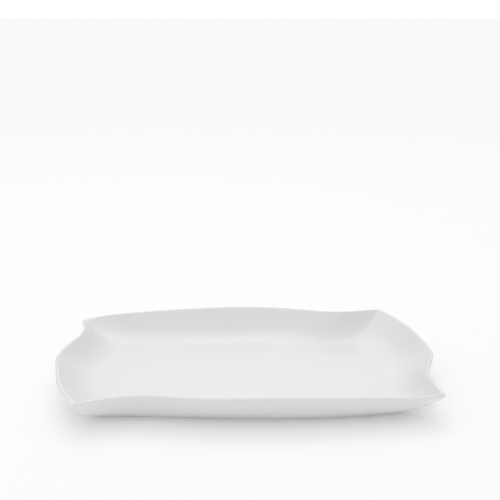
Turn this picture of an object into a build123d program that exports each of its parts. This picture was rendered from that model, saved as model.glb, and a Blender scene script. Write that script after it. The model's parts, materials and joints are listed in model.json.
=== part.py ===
from build123d import *
import os
from dataclasses import dataclass
from math import atan2, cos, pi, radians, sin

# China serving platter, in millimetres: +Z up, standing at Z = 0, its length along X.
# Four wavy sides meet at four unequal corners. Half a turn about Z brings the outline back onto
# itself, so only the front and right sides are listed, and the back and left are those two turned.

# Foot, base and wall
foot_height = 1.5            # resting ring, from the table to the glazed underside
foot_width = 4.5
foot_place = 0.3             # middle of the ring, from 0 at the heel to 1 at the flat of the well
foot_edge_radius = 0.6
recess_depth = 1.0           # the underside inside the ring lies this much higher
base_thickness = 6.0
glaze_thickness = 0.25
lip_radius = 2.2             # fully rounded lip

# Distances in from the rim, in plan, where a side runs straight
lip_centre = 1.4
heel = 30.0                  # where the outer wall would meet the underside at a sharp edge
heel_turn = 3.0              # the rounding takes this much of the wall and of the underside
well_edge = 50.0             # where the flat of the well begins
fillet_start = 10.0          # where the straight inner wall starts to round into the flat
wall_slope = radians(46)     # of the outer and inner walls at mid side
side_belly = 2.2             # how far the outer wall swells under a straight line, at mid side
corner_belly = 3.0           # and at the corners

underside = foot_height
well_floor = foot_height + base_thickness
stations_per_side = 13
ring_points = 48
heel_steps = 4
wall_steps = 5
lip_steps = 8
well_steps = 10

# Rim, anticlockwise: x, y and height of the top of the lip
front_rim = [
    (-153.5, -126.5, 32), (-102, -113, 33.8), (-46, -120.5, 35.2), (-2, -123, 36),
    (60, -120.5, 35), (132, -113.5, 32.2), (172.5, -104.5, 29.7), (183.5, -98, 28.8),
]
right_rim = [
    (183.5, -98, 28.8), (177, -52.5, 30.6), (184.5, -24, 30.5), (190.5, 3, 29.6),
    (185, 41, 31.1), (175.5, 80, 31.4), (153.5, 126.5, 32),
]

# Heel: where the outer wall comes down to the underside
front_heel = [(-139, -88), (-89, -90), (0, -94), (88, -91), (126, -85.5), (150.5, -80.5)]
right_heel = [(150.5, -80.5), (148.5, -55), (154.5, -22), (160, 4), (154, 60), (139, 88)]

# Edge of the well's flat: its corners are round, so neighbouring sides share a direction there
front_well = [(-112, -68), (-68, -68), (0, -73), (76, -69), (127, -58)]
right_well = [(127, -58), (135, -28), (138, 5), (131, 45), (112, 68)]
left_corner_direction = -38  # degrees
right_corner_direction = 50


@dataclass
class Section:
    """One line round the wall, the same distance in from the rim all the way."""
    inset: float             # plan distance in from the rim
    base: float              # height at share 0
    drop: float              # how far under the top of the lip at share 1
    share: float
    inner: float             # 0 follows the outer wall's plan, 1 the inner wall's
    facing: float            # direction of the surface in the wall's profile: pi / 2 is up
    belly: float = 0         # share of the outer wall's swelling


def guide(points, directions=None):
    if directions is None:
        return Edge.make_spline([Vector(*point) for point in points])
    tangents = [Vector(cos(radians(angle)), sin(radians(angle))) for angle in directions]
    return Edge.make_spline([Vector(*point) for point in points], tangents=tangents)


front_directions = [left_corner_direction, right_corner_direction]
right_directions = [right_corner_direction, left_corner_direction + 180]
guides = [
    (guide(front_rim), guide(front_heel), guide(front_well, front_directions)),
    (guide(right_rim), guide(right_heel), guide(right_well, right_directions)),
]
stations = [i / (stations_per_side - 1) for i in range(stations_per_side)]


def underside_sections():
    """From the flat underside round the heel, as a curve between two tangents."""
    wall_end = (heel - heel_turn * cos(wall_slope), underside + heel_turn * sin(wall_slope))
    rows = []
    for i in range(heel_steps + 1):
        t = i / heel_steps
        inset = (1 - t) ** 2 * (heel + heel_turn) + 2 * t * (1 - t) * heel + t ** 2 * wall_end[0]
        height = (1 - t * t) * underside + t ** 2 * wall_end[1]
        rows.append(Section(inset, height, 0, 0, 0, -pi / 2 - t * wall_slope))
    return rows


def outer_wall_sections():
    """Between the heel and the lip, swelling outward most at half height."""
    start = underside_sections()[-1]
    end = lip_sections()[0]
    rows = []
    for i in range(1, wall_steps):
        share = i / wall_steps
        inset = start.inset + (end.inset - start.inset) * share
        belly = 4 * share * (1 - share)
        rows.append(Section(inset, start.base, end.drop, share, 0, start.facing, belly))
    return rows


def lip_sections():
    """Round the lip, from the outer wall's slope over the top to the inner wall's."""
    rows = []
    for i in range(lip_steps + 1):
        facing = -pi / 2 - wall_slope - pi * i / lip_steps
        inset = lip_centre + lip_radius * cos(facing)
        rows.append(Section(inset, 0, lip_radius * (1 - sin(facing)), 1, i / lip_steps, facing))
    return rows


def well_sections():
    """From the straight inner wall along a parabola that meets the flat of the well level."""
    start = lip_sections()[-1]
    curved = well_edge - fillet_start
    fall = 1 / (fillet_start - start.inset + curved / 2)
    rows = []
    for i in range(well_steps + 1):
        t = 1 - i / well_steps
        share = fall * curved * t ** 2 / 2
        facing = pi / 2 - t * wall_slope
        rows.append(Section(well_edge - curved * t, well_floor, start.drop, share, 1, facing))
    return rows


def profile():
    outside = underside_sections() + outer_wall_sections()
    return outside + lip_sections() + well_sections()


def point_at(section, side_guides, station, shrink):
    """Where a section crosses the profile at one station, sunk under the surface by shrink."""
    rim, turn, well = [curve.position_at(station) for curve in side_guides]
    inset = section.inset - shrink * cos(section.facing)
    height = section.base + section.share * (rim.Z - section.drop - section.base)
    height -= shrink * sin(section.facing)
    nearness = (2 * station - 1) ** 4
    height -= section.belly * (side_belly + (corner_belly - side_belly) * nearness)
    if inset < heel:
        outer = rim + (turn - rim) * (inset / heel)
    else:
        outer = turn + (well - turn) * ((inset - heel) / (well_edge - heel))
    inner = rim + (well - rim) * (inset / well_edge)
    point = outer + (inner - outer) * section.inner
    return Vector(point.X, point.Y, height)


def section_wire(section, shrink):
    edges = []
    half = [[point_at(section, side, s, shrink) for s in stations] for side in guides]
    turned = [[Vector(-p.X, -p.Y, p.Z) for p in line] for line in half]
    for line in half + turned:
        edges.append(Edge.make_spline(line, parameters=stations))
    return Wire(edges)


def platter_form(shrink):
    """The whole platter without its foot, its surface sunk by shrink."""
    return Solid.make_loft([section_wire(section, shrink) for section in profile()], ruled=True)


def ring_outline(outward):
    """Closed line between the heel and the flat of the well, its corners rounded, pushed outward."""
    line = []
    for _, turn, well in guides:
        for station in stations[1:-1]:
            start = turn.position_at(station)
            line.append(start + (well.position_at(station) - start) * foot_place)
    line += [Vector(-p.X, -p.Y) for p in line]
    middle = Edge.make_spline(line, periodic=True)
    pushed = []
    for i in range(ring_points):
        point = middle.position_at(i / ring_points)
        direction = middle.tangent_at(i / ring_points)
        pushed.append(Vector(point.X + outward * direction.Y, point.Y - outward * direction.X))
    return Face(Wire([Edge.make_spline(pushed, periodic=True)]))


def layer(outward, low, high):
    return extrude(Pos(0, 0, low) * ring_outline(outward), high - low, dir=(0, 0, 1))


body_underside = underside + glaze_thickness
body_recess = body_underside + recess_depth
half_ring = foot_width / 2


def make_body():
    form = platter_form(glaze_thickness)
    return form - layer(-half_ring, underside - 1, body_recess)


def make_foot():
    ring = layer(half_ring, 0, body_underside) - layer(-half_ring, -1, body_underside + 1)
    resting_edges = ring.edges().group_by(Axis.Z)[0]
    return fillet(resting_edges, foot_edge_radius)


def make_outer_glaze():
    coat = platter_form(0) - platter_form(glaze_thickness)
    return coat - layer(half_ring, underside - 1, body_underside)


def make_recess_glaze():
    return layer(-half_ring, body_recess - glaze_thickness, body_recess)


nodes = {
    "porcelain_body": make_body,
    "foot_ring": make_foot,
    "outer_glaze": make_outer_glaze,
    "recess_glaze": make_recess_glaze,
}

os.makedirs("parts", exist_ok=True)
for name, make in nodes.items():
    export_step(make(), f"parts/{name}.step")
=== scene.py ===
import bpy
import json
import math
import numpy as np
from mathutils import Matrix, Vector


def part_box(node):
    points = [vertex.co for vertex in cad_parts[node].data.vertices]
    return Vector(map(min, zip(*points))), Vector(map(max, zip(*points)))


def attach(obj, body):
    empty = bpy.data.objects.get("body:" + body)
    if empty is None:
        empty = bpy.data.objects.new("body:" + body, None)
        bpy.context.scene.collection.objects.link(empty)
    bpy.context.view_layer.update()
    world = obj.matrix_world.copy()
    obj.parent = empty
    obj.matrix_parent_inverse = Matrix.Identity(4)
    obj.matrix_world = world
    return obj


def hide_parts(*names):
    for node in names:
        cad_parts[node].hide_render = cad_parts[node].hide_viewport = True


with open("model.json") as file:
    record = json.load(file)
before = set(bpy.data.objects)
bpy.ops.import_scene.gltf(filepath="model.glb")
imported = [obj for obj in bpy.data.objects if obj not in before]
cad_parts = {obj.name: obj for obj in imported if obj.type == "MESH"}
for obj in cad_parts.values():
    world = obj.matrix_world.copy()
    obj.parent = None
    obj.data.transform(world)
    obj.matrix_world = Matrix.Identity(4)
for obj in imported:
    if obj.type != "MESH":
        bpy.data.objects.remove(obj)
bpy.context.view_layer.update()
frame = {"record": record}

mm = 0.001

# heights that the frame settles
mounts = {mount["name"]: mount for mount in frame["record"]["mounts"]}
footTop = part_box("foot_ring")[1].z / mm
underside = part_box("outer_glaze")[0].z / mm
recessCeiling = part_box("recess_glaze")[0].z / mm
wellFloor = mounts["well_floor"]["pos_m"][2] / mm

# the outline in mm, anticlockwise from the front left corner: the top of the lip with its height, the
# heel where wall and underside would meet, and the edge of the flat well
# half a turn brings the outline back onto itself, and gives the back and left sides
outline = {
    "frontRim": [(-153.5, -126.5, 32), (-102, -113, 33.8), (-46, -120.5, 35.2), (-2, -123, 36),
                 (60, -120.5, 35), (132, -113.5, 32.2), (172.5, -104.5, 29.7), (183.5, -98, 28.8)],
    "rightRim": [(183.5, -98, 28.8), (177, -52.5, 30.6), (184.5, -24, 30.5), (190.5, 3, 29.6),
                 (185, 41, 31.1), (175.5, 80, 31.4), (153.5, 126.5, 32)],
    "frontHeel": [(-139, -88), (-89, -90), (0, -94), (88, -91), (126, -85.5), (150.5, -80.5)],
    "rightHeel": [(150.5, -80.5), (148.5, -55), (154.5, -22), (160, 4), (154, 60), (139, 88)],
    "frontWell": [(-112, -68), (-68, -68), (0, -73), (76, -69), (127, -58)],
    "rightWell": [(127, -58), (135, -28), (138, 5), (131, 45), (112, 68)],
    "leftCornerDirection": -38,          # degrees, the way the well's edge runs through its corners
    "rightCornerDirection": 50,
    "cuts": 40,                          # stretches that each gap between two points is drawn in
}


def battenLine(points, ends=None, cyclic=False):
    # the smooth line of a springy batten held at the points, as close-set places along it
    place = np.array([(*point, 0)[:3] for point in points], float)
    count, cuts = len(place), outline["cuts"]
    ahead = np.roll(place, -1, axis=0) - place
    gap = np.linalg.norm(ahead, axis=1)
    pull, load = np.zeros((count, count)), np.zeros((count, 3))
    for i in range(count):
        before, after = i - 1, (i + 1) % count
        if cyclic or 0 < i < count - 1:
            pull[i, before], pull[i, i], pull[i, after] = gap[i], 2 * (gap[before] + gap[i]), gap[before]
            load[i] = 3 * (ahead[before] * gap[i] / gap[before] + ahead[i] * gap[before] / gap[i])
        elif ends:
            angle = math.radians(ends[min(i, 1)])
            pull[i, i] = 1
            load[i] = math.cos(angle), math.sin(angle), 0
        else:
            inward = 1 if i == 0 else -1
            span = 0 if i == 0 else i - 1
            pull[i, i], pull[i, i + inward] = 2, 1
            load[i] = 3 * ahead[span] / gap[span]
    slope = np.linalg.solve(pull, load)
    line = []
    for i in range(count if cyclic else count - 1):
        after = (i + 1) % count
        for t in np.arange(cuts) / cuts:
            line.append((1 + 2 * t) * (1 - t) ** 2 * place[i] + t * (1 - t) ** 2 * gap[i] * slope[i]
                        + t * t * (3 - 2 * t) * place[after] - t * t * (1 - t) * gap[i] * slope[after])
    if not cyclic:
        line.append(place[-1])
    return np.array(line)


def atShare(line, shares):
    # places at shares of the line's length
    reach = np.concatenate([[0], np.cumsum(np.linalg.norm(np.diff(line, axis=0), axis=1))])
    return np.array([np.interp(np.array(shares) * reach[-1], reach, line[:, axis]) for axis in range(3)]).T


def withTurned(halves):
    return halves + [half * (-1, -1, 1) for half in halves]


def guideLines(front, right, ends=(None, None)):
    return withTurned([battenLine(outline[front], ends[0]), battenLine(outline[right], ends[1])])


def guideObject(name, sides):
    # a curve with one spline to each side, so that all the guides are read side by side
    curve = bpy.data.curves.new(name, "CURVE")
    curve.dimensions = "3D"
    for line in sides:
        spline = curve.splines.new("POLY")
        spline.points.add(len(line) - 1)
        for point, place in zip(spline.points, line):
            point.co = (*(place * mm), 1)
    guide = bpy.data.objects.new(name, curve)
    bpy.context.scene.collection.objects.link(guide)
    return guide


leftEnd, rightEnd = outline["leftCornerDirection"], outline["rightCornerDirection"]
rimLines = guideLines("frontRim", "rightRim")
heelLines = guideLines("frontHeel", "rightHeel")
wellLines = guideLines("frontWell", "rightWell", ((leftEnd, rightEnd), (rightEnd, leftEnd + 180)))

# the foot ring's middle line runs between the heel and the well's edge, with rounded corners
footRing = {
    "place": 0.3,                        # share of the way in from the heel to the well's edge
    "held": 11,                          # points that hold the line along each side
    "halfWidth": 2.25, "edgeRadius": 0.6,
    "sideHeights": (1, 0.7),             # rows down the ring's sides, as shares of its height
    "edgeSteps": 5,                      # rows round each resting edge
    "crossing": (0.5, 0, -0.5),          # rows across the resting face
    "seed": 5.0,
}


def footLines():
    shares = np.arange(1, footRing["held"] + 1) / (footRing["held"] + 1)
    held = []
    for heelLine, wellLine in zip(heelLines, wellLines):
        heelPlaces, wellPlaces = atShare(heelLine, shares), atShare(wellLine, shares)
        held.append(heelPlaces + (wellPlaces - heelPlaces) * footRing["place"])
    ring = battenLine(np.concatenate(held), cyclic=True)
    ring = np.roll(ring, outline["cuts"] // 2, axis=0)      # starts halfway round the front left corner
    side = len(ring) // 4
    return [np.concatenate([ring, ring[:1]])[i * side:(i + 1) * side + 1] for i in range(4)]


guides = {
    "Rim": guideObject("rimGuide", rimLines),
    "Heel": guideObject("heelGuide", heelLines),
    "Well": guideObject("wellGuide", wellLines),
    "Foot": guideObject("footGuide", footLines()),
}
print("outline guides drawn")


# a row of the cross-section runs all the way round the platter
def row(inset=0.0, base=0.0, drop=0.0, share=0.0, inner=0.0, belly=0.0,
        foot=0.0, push=0.0, pull=0.0, glaze=1.0):
    return {
        "reach": (inset, inner, share),   # mm in from the rim, outer or inner wall, base or lip
        "level": (base, drop, belly),     # mm up from the table, mm under the lip, share of the swelling
        "under": (foot, push, pull),      # on the ring's line, mm outside it, share of the way to the middle
        "glaze": glaze,                   # thickness of the glaze, where 1 is even
    }


# lengths and radii in mm unless a note says otherwise
body = {
    "lipRadius": 2.2, "lipCentre": 1.4, "slope": math.radians(46),
    "heel": 30.0, "heelTurn": 3.0, "filletStart": 10.0, "wellEdge": 50.0,
    "sideBelly": 2.2, "cornerBelly": 3.0,
    "coveRadius": 0.8,                   # where the recess meets the ring
    "rollRadius": 0.3,                   # where the outer glaze rolls in to the ring
    "rimSoftness": 0.0035,               # rounding of the corners, in sides of the platter
    "heelSoftness": 0.012,
    "heelStart": 0.25,                   # the heel's first row, as a share of its rounding
    "pooled": 1.15, "drawnBack": 0.9,    # thickness of the glaze, where 1 is even
    "ringGlaze": 0.6,
    "wellGlaze": 0.1, "lipThinning": 0.35,       # more than even in the well, and less over the lip
    "sideSteps": 140, "coveSteps": 4, "rollSteps": 3, "heelSteps": 8, "wallSteps": 14,
    "lipSteps": 20, "slopeSteps": 9, "filletSteps": 14,
    "waviness": 0.00004, "waveScale": 26.0,      # metres, and waves to the metre
    "mergeWithin": 0.000004,             # metres
    "seed": 3.0,
}

# rows across the flats, as shares of the way to the middle, close-set near the edge and the middle
recessRows = (1, 0.97, 0.9, 0.8, 0.68, 0.56, 0.44, 0.33, 0.23, 0.14, 0.07, 0.02)
floorRows = (0.02, 0.05, 0.1, 0.17, 0.26, 0.36, 0.47, 0.58, 0.69, 0.79, 0.88, 0.95, 0.985, 1)


def undersideRows():
    half, cove, roll = footRing["halfWidth"], body["coveRadius"], body["rollRadius"]
    rows = [row(foot=1, push=-half - cove, base=recessCeiling, pull=pull) for pull in recessRows]
    for i in range(body["coveSteps"] + 1):                  # glaze pools where the recess meets the ring
        turn = math.pi / 2 * i / body["coveSteps"]
        rows.append(row(foot=1, push=-half - cove * (1 - math.sin(turn)),
                        base=recessCeiling - cove * (1 - math.cos(turn)), glaze=body["pooled"]))
    for push in (-half + roll, half - roll):                # behind the ring, out of sight
        rows.append(row(foot=1, push=push, base=footTop - roll, glaze=body["ringGlaze"]))
    for i in range(body["rollSteps"] + 1):
        turn = math.pi / 2 * i / body["rollSteps"]
        rows.append(row(foot=1, push=half + roll * (1 - math.cos(turn)),
                        base=underside - roll * (1 - math.sin(turn)), glaze=body["drawnBack"]))
    return rows


def heelRows():
    turn, slope = body["heelTurn"], body["slope"]
    wallInset, wallHeight = body["heel"] - turn * math.cos(slope), underside + turn * math.sin(slope)
    begin, steps = body["heelStart"], body["heelSteps"]
    rows = []
    for i in range(steps + 1):
        t = begin + (1 - begin) * i / steps
        inset = (1 - t) ** 2 * (body["heel"] + turn) + 2 * t * (1 - t) * body["heel"] + t * t * wallInset
        rows.append(row(inset=inset, base=(1 - t * t) * underside + t * t * wallHeight))
    return rows


def lipRows():
    rows = []
    for i in range(body["lipSteps"] + 1):
        over = i / body["lipSteps"]
        facing = -math.pi / 2 - body["slope"] - math.pi * over
        rows.append(row(inset=body["lipCentre"] + body["lipRadius"] * math.cos(facing),
                        drop=body["lipRadius"] * (1 - math.sin(facing)), share=1, inner=over,
                        glaze=1 - body["lipThinning"] * math.sin(math.pi * over)))
    return rows


def outerWallRows():
    start, end = heelRows()[-1], lipRows()[0]
    rows = []
    for i in range(1, body["wallSteps"]):
        share = i / body["wallSteps"]
        inset = start["reach"][0] + (end["reach"][0] - start["reach"][0]) * share
        rows.append(row(inset=inset, base=start["level"][0], drop=end["level"][1], share=share,
                        belly=4 * share * (1 - share)))
    return rows


def wellRows():
    start = lipRows()[-1]
    begin, drop = start["reach"][0], start["level"][1]
    straight, curved = body["filletStart"] - begin, body["wellEdge"] - body["filletStart"]
    fall = 1 / (straight + curved / 2)
    rows = []
    for i in range(1, body["slopeSteps"] + 1):
        down = straight * i / body["slopeSteps"]
        rows.append(row(inset=begin + down, base=wellFloor, drop=drop, share=1 - fall * down, inner=1))
    for i in range(1, body["filletSteps"] + 1):
        t = 1 - i / body["filletSteps"]
        rows.append(row(inset=body["wellEdge"] - curved * t, base=wellFloor, drop=drop,
                        share=fall * curved * t * t / 2, inner=1, glaze=1 + body["wellGlaze"] * (1 - t)))
    for pull in floorRows:
        rows.append(row(inset=body["wellEdge"], base=wellFloor, inner=1, pull=pull,
                        glaze=1 + body["wellGlaze"]))
    return rows


def footRows():
    # down the outside, across the resting face, up the inside and back along the top
    half, edge, steps = footRing["halfWidth"], footRing["edgeRadius"], footRing["edgeSteps"]
    outside = [(half, footTop * share) for share in footRing["sideHeights"]] + [(half, edge)]
    for i in range(1, steps + 1):
        turn = math.pi / 2 * i / steps
        outside.append((half - edge * (1 - math.cos(turn)), edge * (1 - math.sin(turn))))
    inside = [(-push, height) for push, height in reversed(outside)]
    crossing = [((half - edge) * across, 0.0) for across in footRing["crossing"]]
    corners = outside + crossing + inside + outside[:1]
    return [row(foot=1, push=push, base=height) for push, height in corners]


def profileObject(name, rows):
    # one loose vertex to each row, carrying what the tree needs to know about it
    mesh = bpy.data.meshes.new(name)
    mesh.from_pydata([(i * mm, 0, 0) for i in range(len(rows))], [], [])
    for key in ("reach", "level", "under"):
        values = mesh.attributes.new(key, "FLOAT_VECTOR", "POINT").data
        values.foreach_set("vector", np.array([line[key] for line in rows], float).ravel())
    glazes = mesh.attributes.new("glaze", "FLOAT", "POINT").data
    glazes.foreach_set("value", [line["glaze"] for line in rows])
    profile = bpy.data.objects.new(name, mesh)
    bpy.context.scene.collection.objects.link(profile)
    return profile


# helpers for building node trees; a value is a number, or another node's output to link
def add(tree, kind, inputs=None, **settings):
    node = tree.nodes.new(kind)
    node.location = (190 * (len(tree.nodes) % 24), -190 * (len(tree.nodes) // 24))
    for key, value in settings.items():
        setattr(node, key, value)
    for key, value in (inputs or {}).items():
        setSocket(tree, node.inputs[key], value)
    return node


def setSocket(tree, socket, value):
    if isinstance(value, bpy.types.NodeSocket):
        tree.links.new(value, socket)
    else:
        socket.default_value = value


def calc(tree, operation, *values):
    return add(tree, "ShaderNodeMath", dict(enumerate(values)), operation=operation).outputs[0]


def vectorCalc(tree, operation, *values):
    node = add(tree, "ShaderNodeVectorMath", dict(enumerate(values)), operation=operation)
    return node.outputs["Vector"]


def scaled(tree, vector, factor):
    node = add(tree, "ShaderNodeVectorMath", {0: vector, "Scale": factor}, operation="SCALE")
    return node.outputs["Vector"]


def between(tree, first, second, share):
    # from the first vector to the second, by a share that may pass outside 0 to 1
    return vectorCalc(tree, "ADD", first, scaled(tree, vectorCalc(tree, "SUBTRACT", second, first), share))


def split(tree, vector):
    return add(tree, "ShaderNodeSeparateXYZ", {0: vector}).outputs


def joined(tree, x, y, z):
    return add(tree, "ShaderNodeCombineXYZ", {0: x, 1: y, 2: z}).outputs[0]


def newTree(name, sockets):
    tree = bpy.data.node_groups.new(name, "GeometryNodeTree")
    for label, kind in sockets.items():
        tree.interface.new_socket(label, in_out="INPUT", socket_type="NodeSocket" + kind)
    entry = tree.nodes.new("NodeGroupInput")
    return tree, entry.outputs


def softSampleTree():
    # reads a guide a little before and after a place, so that a corner between sides comes out rounded
    # around counts sides from the front left corner, 0 to 4
    tree, entry = newTree("softSample", {"Guide": "Geometry", "Around": "Float", "Softness": "Float"})
    tree.interface.new_socket("Place", in_out="OUTPUT", socket_type="NodeSocketVector")
    tree.interface.new_socket("Direction", in_out="OUTPUT", socket_type="NodeSocketVector")
    place = direction = None
    for step, weight in ((-2, 1 / 16), (-1, 4 / 16), (0, 6 / 16), (1, 4 / 16), (2, 1 / 16)):
        spot = calc(tree, "ADD", entry["Around"], calc(tree, "MULTIPLY", entry["Softness"], step))
        spot = calc(tree, "FLOORED_MODULO", spot, 4.0)
        side = calc(tree, "FLOOR", spot)
        sample = add(tree, "GeometryNodeSampleCurve", {
            "Curves": entry["Guide"], "Factor": calc(tree, "SUBTRACT", spot, side), "Curve Index": side,
        }, mode="FACTOR")
        partPlace = scaled(tree, sample.outputs["Position"], weight)
        partDirection = scaled(tree, sample.outputs["Tangent"], weight)
        place = vectorCalc(tree, "ADD", place, partPlace) if place else partPlace
        direction = vectorCalc(tree, "ADD", direction, partDirection) if direction else partDirection
    outlet = tree.nodes.new("NodeGroupOutput")
    tree.links.new(place, outlet.inputs["Place"])
    tree.links.new(vectorCalc(tree, "NORMALIZE", direction), outlet.inputs["Direction"])
    return tree


def skinTree():
    # lays a sheet of rows and columns round the platter and carries each point to its place
    tree, entry = newTree("platterSkin", {
        "Rim": "Object", "Heel": "Object", "Well": "Object", "Foot": "Object", "Profile": "Object",
        "Side Steps": "Int", "Rim Softness": "Float", "Heel Softness": "Float", "Heel Inset": "Float",
        "Well Inset": "Float", "Side Belly": "Float", "Corner Belly": "Float", "Waviness": "Float",
        "Seed": "Float", "Finish": "Material",
    })
    tree.interface.new_socket("Geometry", in_out="OUTPUT", socket_type="NodeSocketGeometry")
    soft = softSampleTree()
    profile = add(tree, "GeometryNodeObjectInfo", {"Object": entry["Profile"]}).outputs["Geometry"]
    rows = add(tree, "GeometryNodeAttributeDomainSize", {0: profile}).outputs["Point Count"]
    columns = calc(tree, "ADD", calc(tree, "MULTIPLY", entry["Side Steps"], 4.0), 1.0)
    sheet = add(tree, "GeometryNodeMeshGrid", {"Vertices X": columns, "Vertices Y": rows}).outputs["Mesh"]

    # which column and which row each point of the sheet is in, and how far round its column stands
    index = add(tree, "GeometryNodeInputIndex").outputs[0]
    column = calc(tree, "FLOOR", calc(tree, "DIVIDE", calc(tree, "ADD", index, 0.5), rows))
    line = calc(tree, "SUBTRACT", index, calc(tree, "MULTIPLY", column, rows))
    around = calc(tree, "DIVIDE", column, entry["Side Steps"])

    def told(key, kind="FLOAT_VECTOR"):
        named = add(tree, "GeometryNodeInputNamedAttribute", {"Name": key}, data_type=kind)
        return add(tree, "GeometryNodeSampleIndex", {
            "Geometry": profile, "Value": named.outputs["Attribute"], "Index": line,
        }, data_type=kind).outputs["Value"]

    def guide(key, softness):
        lines = add(tree, "GeometryNodeObjectInfo", {"Object": entry[key]}).outputs["Geometry"]
        return add(tree, "GeometryNodeGroup", {"Guide": lines, "Around": around, "Softness": softness},
                   node_tree=soft).outputs

    inset, inner, share = split(tree, told("reach"))
    base, drop, belly = split(tree, told("level"))
    onFoot, push, pull = split(tree, told("under"))
    rim = guide("Rim", entry["Rim Softness"])["Place"]
    heel = guide("Heel", entry["Heel Softness"])["Place"]
    well = guide("Well", 0.0)["Place"]
    foot = guide("Foot", 0.0)

    # the outer wall runs rim to heel, then on to the well's edge; the inner wall runs rim to well's edge
    past = calc(tree, "SUBTRACT", inset, entry["Heel Inset"])
    toWell = calc(tree, "DIVIDE", calc(tree, "MAXIMUM", past, 0.0),
                  calc(tree, "SUBTRACT", entry["Well Inset"], entry["Heel Inset"]))
    toHeel = calc(tree, "DIVIDE", calc(tree, "MINIMUM", inset, entry["Heel Inset"]), entry["Heel Inset"])
    outerWall = between(tree, between(tree, rim, heel, toHeel), well, toWell)
    innerWall = between(tree, rim, well, calc(tree, "DIVIDE", inset, entry["Well Inset"]))
    plan = between(tree, outerWall, innerWall, inner)

    # outward is the ring's direction turned a quarter to the right
    along, across, _ = split(tree, foot["Direction"])
    outward = joined(tree, across, calc(tree, "MULTIPLY", along, -1.0), 0.0)
    ring = vectorCalc(tree, "ADD", foot["Place"], scaled(tree, outward, calc(tree, "MULTIPLY", push, mm)))
    plan = between(tree, plan, ring, onFoot)
    plan = scaled(tree, plan, calc(tree, "SUBTRACT", 1.0, pull))

    # swells most at the corners, where the station along the side is 0 or 1
    station = calc(tree, "SUBTRACT", around, calc(tree, "FLOOR", around))
    offCentre = calc(tree, "ABSOLUTE", calc(tree, "MULTIPLY_ADD", station, 2.0, -1.0))
    nearness = calc(tree, "POWER", offCentre, 4.0)
    swell = calc(tree, "MULTIPLY_ADD", nearness,
                 calc(tree, "SUBTRACT", entry["Corner Belly"], entry["Side Belly"]), entry["Side Belly"])
    lipHeight = calc(tree, "DIVIDE", split(tree, rim)["Z"], mm)
    rise = calc(tree, "SUBTRACT", calc(tree, "SUBTRACT", lipHeight, drop), base)
    height = calc(tree, "MULTIPLY_ADD", share, rise, base)
    height = calc(tree, "SUBTRACT", height, calc(tree, "MULTIPLY", belly, swell))
    x, y, _ = split(tree, plan)
    place = joined(tree, x, y, calc(tree, "MULTIPLY", height, mm))

    shaped = add(tree, "GeometryNodeSetPosition", {"Geometry": sheet, "Position": place}).outputs["Geometry"]
    coated = add(tree, "GeometryNodeStoreNamedAttribute", {
        "Geometry": shaped, "Name": "glaze", "Value": told("glaze", "FLOAT"),
    }, data_type="FLOAT", domain="POINT").outputs["Geometry"]
    closed = add(tree, "GeometryNodeMergeByDistance", {
        "Geometry": coated, "Distance": body["mergeWithin"],
    }).outputs["Geometry"]

    # a fired surface is never quite true
    where = add(tree, "GeometryNodeInputPosition").outputs[0]
    swirl = add(tree, "ShaderNodeTexNoise", {
        "Vector": where, "W": entry["Seed"], "Scale": body["waveScale"], "Detail": 1.0, "Roughness": 0.4,
    }, noise_dimensions="4D").outputs[0]
    amount = calc(tree, "MULTIPLY", calc(tree, "SUBTRACT", swirl, 0.5), entry["Waviness"])
    facing = add(tree, "GeometryNodeInputNormal").outputs[0]
    uneven = add(tree, "GeometryNodeSetPosition", {
        "Geometry": closed, "Offset": scaled(tree, facing, amount),
    })
    smooth = add(tree, "GeometryNodeSetShadeSmooth", {"Geometry": uneven.outputs["Geometry"]})
    real = add(tree, "GeometryNodeRealizeInstances", {"Geometry": smooth.outputs["Geometry"]})
    finished = add(tree, "GeometryNodeSetMaterial", {
        "Geometry": real.outputs["Geometry"], "Material": entry["Finish"],
    })
    outlet = tree.nodes.new("NodeGroupOutput")
    tree.links.new(finished.outputs["Geometry"], outlet.inputs["Geometry"])
    return tree


def grow(name, tree, settings):
    # runs the tree on an empty mesh, and keeps the result as a plain mesh
    piece = bpy.data.objects.new(name, bpy.data.meshes.new(name + "Seed"))
    bpy.context.scene.collection.objects.link(piece)
    modifier = piece.modifiers.new("skin", "NODES")
    modifier.node_group = tree
    for item in tree.interface.items_tree:
        if item.in_out == "INPUT":
            modifier[item.identifier] = settings[item.name]
    ready = piece.evaluated_get(bpy.context.evaluated_depsgraph_get())
    mesh = bpy.data.meshes.new_from_object(ready)
    mesh.name = name
    piece.modifiers.clear()
    piece.data = mesh
    return piece


glazeLook = {
    "white": (0.84, 0.842, 0.851), "thin": (0.86, 0.858, 0.852), "fleck": (0.60, 0.57, 0.52),
    "roughness": 0.3, "coatRoughness": 0.035, "coatIndex": 1.5,
    "glow": 0.12, "depth": 0.002, "depthByColor": (1.0, 0.92, 0.82),     # light that passes under the skin
    "thinFrom": 0.95, "thinWholly": 0.65,                                # thickness of the glaze
    "cloudScale": 14.0, "cloudFrom": 0.35, "cloudTo": 0.7, "cloudMost": 0.18,
    "fleckScale": 70.0, "fleckSize": 0.022, "fleckless": 0.86, "fleckMost": 0.5,
    "peelScale": 320.0, "peelHeight": 0.00002, "peelStrength": 0.6,
}


def emptyMaterial(name):
    material = bpy.data.materials.new(name)
    material.use_nodes = True
    return material, material.node_tree, material.node_tree.nodes["Principled BSDF"]


def noise(tree, where, scale, detail=2.0, roughness=0.5):
    return add(tree, "ShaderNodeTexNoise", {
        "Vector": where, "Scale": scale, "Detail": detail, "Roughness": roughness,
    }).outputs["Fac"]


def ramp(tree, value, low, high, toLow=0.0, toHigh=1.0):
    node = add(tree, "ShaderNodeMapRange", {
        "Value": value, "From Min": low, "From Max": high, "To Min": toLow, "To Max": toHigh,
    }, interpolation_type="SMOOTHSTEP")
    return node.outputs["Result"]


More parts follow.
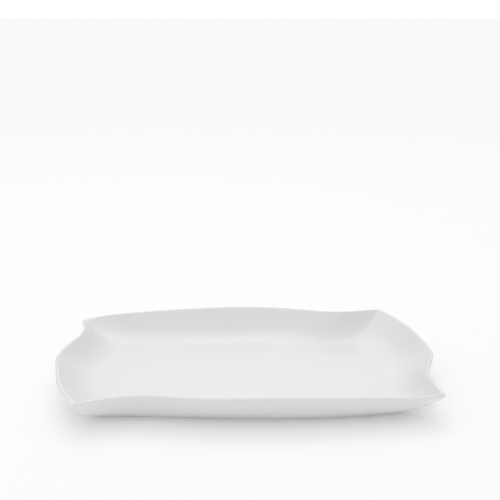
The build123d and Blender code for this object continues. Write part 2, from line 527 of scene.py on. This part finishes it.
def blendColor(tree, share, first, second):
    node = add(tree, "ShaderNodeMix", {}, data_type="RGBA")
    setSocket(tree, node.inputs["Factor"], share)
    colors = [socket for socket in node.inputs if socket.type == "RGBA"]
    for socket, color in zip(colors, (first, second)):
        setSocket(tree, socket, color if isinstance(color, bpy.types.NodeSocket) else (*color, 1))
    return next(socket for socket in node.outputs if socket.type == "RGBA")


def makeWhiteGlaze():
    look = glazeLook
    material, tree, shader = emptyMaterial("whiteGlaze")
    where = add(tree, "ShaderNodeTexCoord").outputs["Object"]
    thickness = add(tree, "ShaderNodeAttribute", attribute_name="glaze").outputs["Fac"]

    # a little paler where the glaze runs thin over the lip, and faintly clouded all over
    thin = ramp(tree, thickness, look["thinFrom"], look["thinWholly"])
    cloud = ramp(tree, noise(tree, where, look["cloudScale"], 3.0), look["cloudFrom"], look["cloudTo"],
                 0.0, look["cloudMost"])
    tone = blendColor(tree, calc(tree, "MAXIMUM", thin, cloud), look["white"], look["thin"])

    # a few iron flecks, each a fraction of a millimetre across
    cells = add(tree, "ShaderNodeTexVoronoi", {"Vector": where, "Scale": look["fleckScale"]})
    chosen = calc(tree, "GREATER_THAN", split(tree, cells.outputs["Color"])[0], look["fleckless"])
    dot = ramp(tree, cells.outputs["Distance"], look["fleckSize"], 0.3 * look["fleckSize"],
               0.0, look["fleckMost"])
    tone = blendColor(tree, calc(tree, "MULTIPLY", chosen, dot), tone, look["fleck"])
    setSocket(tree, shader.inputs["Base Color"], tone)

    # the skin of a fired glaze is faintly dimpled, like orange peel
    peel = noise(tree, where, look["peelScale"], 1.0, 0.4)
    bump = add(tree, "ShaderNodeBump", {
        "Height": peel, "Distance": look["peelHeight"], "Strength": look["peelStrength"],
    })
    setSocket(tree, shader.inputs["Coat Normal"], bump.outputs["Normal"])
    setSocket(tree, shader.inputs["Roughness"], look["roughness"])
    setSocket(tree, shader.inputs["Coat Weight"], 1.0)
    setSocket(tree, shader.inputs["Coat Roughness"], look["coatRoughness"])
    setSocket(tree, shader.inputs["Coat IOR"], look["coatIndex"])
    setSocket(tree, shader.inputs["Subsurface Weight"], look["glow"])
    setSocket(tree, shader.inputs["Subsurface Scale"], look["depth"])
    setSocket(tree, shader.inputs["Subsurface Radius"], look["depthByColor"])
    return material


biscuitLook = {
    "body": (0.76, 0.745, 0.71), "stain": (0.60, 0.58, 0.54), "rubbed": (0.68, 0.665, 0.63),
    "roughness": 0.82, "rubbedRoughness": 0.6,
    "stainScale": 45.0, "stainFrom": 0.5, "stainTo": 0.75, "stainMost": 0.6,
    "patchScale": 160.0, "patchFrom": 0.4, "patchTo": 0.65,
    "restingHeight": 0.00015,            # metres; what lies lower than this rubs on the table
    "grainScale": 1500.0, "grainHeight": 0.00006, "grainStrength": 0.8,
}


def makeBareBiscuit():
    look = biscuitLook
    material, tree, shader = emptyMaterial("bareBiscuit")
    where = add(tree, "ShaderNodeTexCoord").outputs["Object"]
    grain = noise(tree, where, look["grainScale"], 4.0, 0.6)
    stain = ramp(tree, noise(tree, where, look["stainScale"], 4.0), look["stainFrom"], look["stainTo"],
                 0.0, look["stainMost"])

    # the resting face is wiped smooth and picks up grey from tables
    resting = ramp(tree, split(tree, where)[2], look["restingHeight"], 0.0)
    patches = ramp(tree, noise(tree, where, look["patchScale"], 3.0), look["patchFrom"], look["patchTo"])
    rubbed = calc(tree, "MULTIPLY", resting, patches)
    tone = blendColor(tree, stain, look["body"], look["stain"])
    tone = blendColor(tree, rubbed, tone, look["rubbed"])
    setSocket(tree, shader.inputs["Base Color"], tone)
    rough = ramp(tree, rubbed, 0.0, 1.0, look["roughness"], look["rubbedRoughness"])
    setSocket(tree, shader.inputs["Roughness"], rough)
    bump = add(tree, "ShaderNodeBump", {
        "Height": grain, "Distance": look["grainHeight"], "Strength": look["grainStrength"],
    })
    setSocket(tree, shader.inputs["Normal"], bump.outputs["Normal"])
    return material


platterSkin = skinTree()
sizes = {
    **guides, "Side Steps": body["sideSteps"],
    "Rim Softness": body["rimSoftness"], "Heel Softness": body["heelSoftness"],
    "Heel Inset": body["heel"], "Well Inset": body["wellEdge"],
    "Side Belly": body["sideBelly"], "Corner Belly": body["cornerBelly"],
}
outsideRows = undersideRows() + heelRows() + outerWallRows()
bodyProfile = profileObject("bodyProfile", outsideRows + lipRows() + wellRows())
footProfile = profileObject("footProfile", footRows())
glazedBody = grow("glazedBody", platterSkin, {
    **sizes, "Profile": bodyProfile, "Waviness": body["waviness"], "Seed": body["seed"],
    "Finish": makeWhiteGlaze(),
})
print("glazed body grown:", len(glazedBody.data.polygons), "faces")
bareFoot = grow("bareFoot", platterSkin, {
    **sizes, "Profile": footProfile, "Waviness": 0.0, "Seed": footRing["seed"],
    "Finish": makeBareBiscuit(),
})
print("foot ring grown:", len(bareFoot.data.polygons), "faces")
for helper in [*guides.values(), bodyProfile, footProfile]:
    bpy.data.objects.remove(helper)

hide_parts("porcelain_body", "outer_glaze", "recess_glaze")
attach(glazedBody, "root")
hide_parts("foot_ring")
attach(bareFoot, "root")


# soft light in the air round the table, with brighter lobes: where from, how tight, how strong
studioLook = {
    "ambient": 0.27,
    "lobes": {
        "zenith": {"from": (0, 0, 1), "power": 3.0, "strength": 0.28},
        "backHigh": {"from": (0, 0.5, 0.87), "power": 8.0, "strength": 0.72},
        "backLow": {"from": (0, 0.95, 0.3), "power": 6.0, "strength": 0.64},
        "left": {"from": (-0.85, 0, 0.5), "power": 6.0, "strength": 0.85},
        "right": {"from": (0.85, 0, 0.5), "power": 6.0, "strength": 0.65},
        "frontHigh": {"from": (0, -0.6, 0.8), "power": 8.0, "strength": 0.92},
    },
    "tableWhite": 0.9, "tableGlow": 0.14, "tableReach": 12.0,
    "softboxSize": (1.2, 0.8), "softboxPlace": (-0.35, 0.55, 1.5), "softboxWatts": 1.3,
}


def layTable():
    reach = studioLook["tableReach"]
    mesh = bpy.data.meshes.new("table")
    corners = [(-reach, -reach, 0), (reach, -reach, 0), (reach, reach, 0), (-reach, reach, 0)]
    mesh.from_pydata(corners, [], [(0, 1, 2, 3)])
    table = bpy.data.objects.new("table", mesh)
    bpy.context.scene.collection.objects.link(table)
    paper, _, shader = emptyMaterial("whitePaper")
    shader.inputs["Base Color"].default_value = (*[studioLook["tableWhite"]] * 3, 1)
    shader.inputs["Roughness"].default_value = 1.0
    shader.inputs["Specular IOR Level"].default_value = 0.0
    shader.inputs["Emission Color"].default_value = (1, 1, 1, 1)
    shader.inputs["Emission Strength"].default_value = studioLook["tableGlow"]
    mesh.materials.append(paper)


def fillAir():
    world = bpy.data.worlds.new("studioAir")
    world.use_nodes = True
    tree = world.node_tree
    toward = add(tree, "ShaderNodeTexCoord").outputs["Generated"]
    total = studioLook["ambient"]
    for lobe in studioLook["lobes"].values():
        facing = add(tree, "ShaderNodeVectorMath", {0: toward, 1: lobe["from"]}, operation="DOT_PRODUCT")
        near = calc(tree, "POWER", calc(tree, "MAXIMUM", facing.outputs["Value"], 0.0), lobe["power"])
        total = calc(tree, "ADD", total, calc(tree, "MULTIPLY", near, lobe["strength"]))
    # the backdrop itself is plain white
    seen = add(tree, "ShaderNodeLightPath").outputs["Is Camera Ray"]
    total = add(tree, "ShaderNodeMix", {0: seen, 2: total, 3: 1.0}, data_type="FLOAT").outputs[0]
    setSocket(tree, tree.nodes["Background"].inputs["Color"], (1, 1, 1, 1))
    setSocket(tree, tree.nodes["Background"].inputs["Strength"], total)
    bpy.context.scene.world = world


def hangSoftbox():
    light = bpy.data.lights.new("softbox", "AREA")
    light.shape = "RECTANGLE"
    light.size, light.size_y = studioLook["softboxSize"]
    light.energy = studioLook["softboxWatts"]
    lamp = bpy.data.objects.new("softbox", light)
    lamp.location = studioLook["softboxPlace"]
    lamp.rotation_euler = lamp.location.to_track_quat("Z", "Y").to_euler()
    bpy.context.scene.collection.objects.link(lamp)


cameraView = {
    "place": (0.0044, -0.8732, 0.3856),
    "down": 15.83,                       # degrees below level
    "lens": 66.24, "sensor": 36,
}


def setCamera():
    data = bpy.data.cameras.new("camera")
    data.lens = cameraView["lens"]
    data.sensor_width = cameraView["sensor"]
    eye = bpy.data.objects.new("camera", data)
    eye.location = cameraView["place"]
    eye.rotation_euler = (math.radians(90 - cameraView["down"]), 0, 0)
    bpy.context.scene.collection.objects.link(eye)
    bpy.context.scene.camera = eye


layTable()
fillAir()
hangSoftbox()
setCamera()
bpy.context.scene.view_settings.view_transform = "Standard"
print("studio set")
